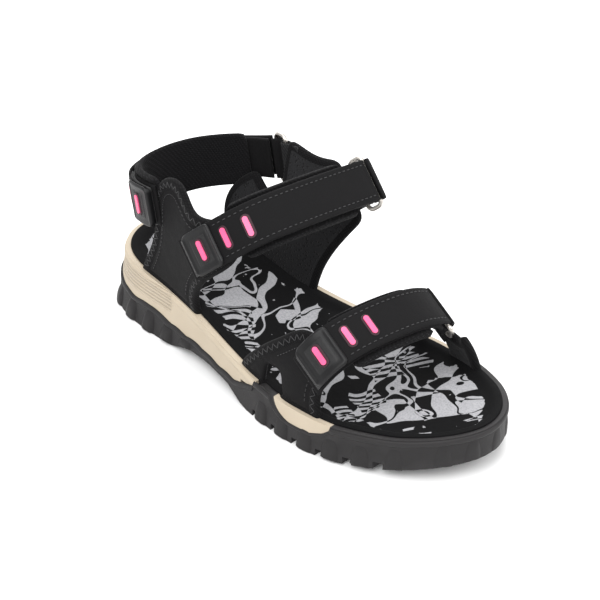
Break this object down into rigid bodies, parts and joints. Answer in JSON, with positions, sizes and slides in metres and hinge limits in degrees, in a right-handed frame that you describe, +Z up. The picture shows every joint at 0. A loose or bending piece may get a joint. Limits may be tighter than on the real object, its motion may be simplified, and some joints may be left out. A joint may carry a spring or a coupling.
{
  "type": "sport sandal",
  "caption": "Open-toe strappy sport sandal with hook-and-loop straps over the forefoot, instep and heel, a foam midsole and a lugged rubber outsole.",
  "frame": {"origin": "middle of the heel tread, on the ground", "axes": "+X toward the toe, +Y toward the inner (medial) side of the foot, +Z up"},
  "size_m": [0.2707, 0.117, 0.1131],
  "materials": {
    "rubber": "matte moulded charcoal rubber",
    "foam": "matte cream foam",
    "inner_foam": "matte dark foam under the footbed",
    "footbed": "black fabric with a grey abstract print",
    "shell": "matte black synthetic nubuck",
    "lining": "black padded knit lining",
    "webbing": "black woven webbing",
    "hook": "black hook and loop tape",
    "metal": "nickel plated wire",
    "tab": "satin moulded rubber",
    "accent": "pink moulded rubber"
  },
  "bodies": {
    "sandal": {"footbed_cover": "footbed", "footbed_foam": "inner_foam", "fore_ring_loop": "webbing", "fore_strap_base": "shell", "fore_strap_loop_face": "hook", "fore_strap_pad": "lining", "forefoot_foam": "inner_foam", "heel_ring": "metal", "heel_ring_loop": "webbing", "heel_strap_base": "shell", "heel_strap_fold": "webbing", "heel_strap_loop_face": "hook", "heel_strap_pad": "lining", "instep_ring_loop": "webbing", "instep_strap_base": "shell", "instep_strap_loop_face": "hook", "instep_strap_pad": "lining", "lateral_quarter_lining": "lining", "lateral_quarter_shell": "shell", "lateral_vamp_lining": "lining", "lateral_vamp_shell": "shell", "medial_quarter_lining": "lining", "medial_quarter_shell": "shell", "medial_vamp_lining": "lining", "medial_vamp_shell": "shell", "midsole": "foam", "midsole_rim": "foam", "outsole_cup": "rubber", "outsole_heel": "rubber", "window_foam": "foam"},
    "instep_ring_link": {"instep_ring": "metal", "instep_strap_fold": "webbing"},
    "instep_free_end": {"instep_strap_tail": "shell", "instep_strap_hook_face": "hook", "instep_strap_tab": "tab", "instep_accent_bars": "accent"},
    "fore_ring_link": {"fore_ring": "metal", "fore_strap_fold": "webbing"},
    "fore_free_end": {"fore_strap_tail": "shell", "fore_strap_hook_face": "hook", "fore_strap_tab": "tab", "fore_accent_bars": "accent"},
    "heel_free_end": {"heel_strap_tail": "shell", "heel_strap_hook_face": "hook", "heel_strap_tab": "tab", "heel_accent_bars": "accent"}
  },
  "joints": [
    {"name": "instep_ring_swivel", "type": "hinge", "parent": "sandal", "child": "instep_ring_link", "pos_m": [0.08531, 0.0537, 0.08822], "axis": [-0.6888, 0.0941, 0.7188], "range_deg": [0, 25]},
    {"name": "instep_strap_open", "type": "hinge", "parent": "instep_ring_link", "child": "instep_free_end", "pos_m": [0.0917, 0.0563, 0.094], "axis": [-0.6888, 0.0941, 0.7188], "range_deg": [0, 150]},
    {"name": "fore_ring_swivel", "type": "hinge", "parent": "sandal", "child": "fore_ring_link", "pos_m": [0.16119, 0.0331, 0.04895], "axis": [-0.8858, 0.1212, 0.4479], "range_deg": [0, 25]},
    {"name": "fore_strap_open", "type": "hinge", "parent": "fore_ring_link", "child": "fore_free_end", "pos_m": [0.1646, 0.0298, 0.0566], "axis": [-0.8858, 0.1212, 0.4479], "range_deg": [0, 150]},
    {"name": "heel_strap_open", "type": "hinge", "parent": "sandal", "child": "heel_free_end", "pos_m": [0.026, 0.0505, 0.085], "axis": [0.1908, 0, -0.9816], "range_deg": [0, 110]}
  ]
}
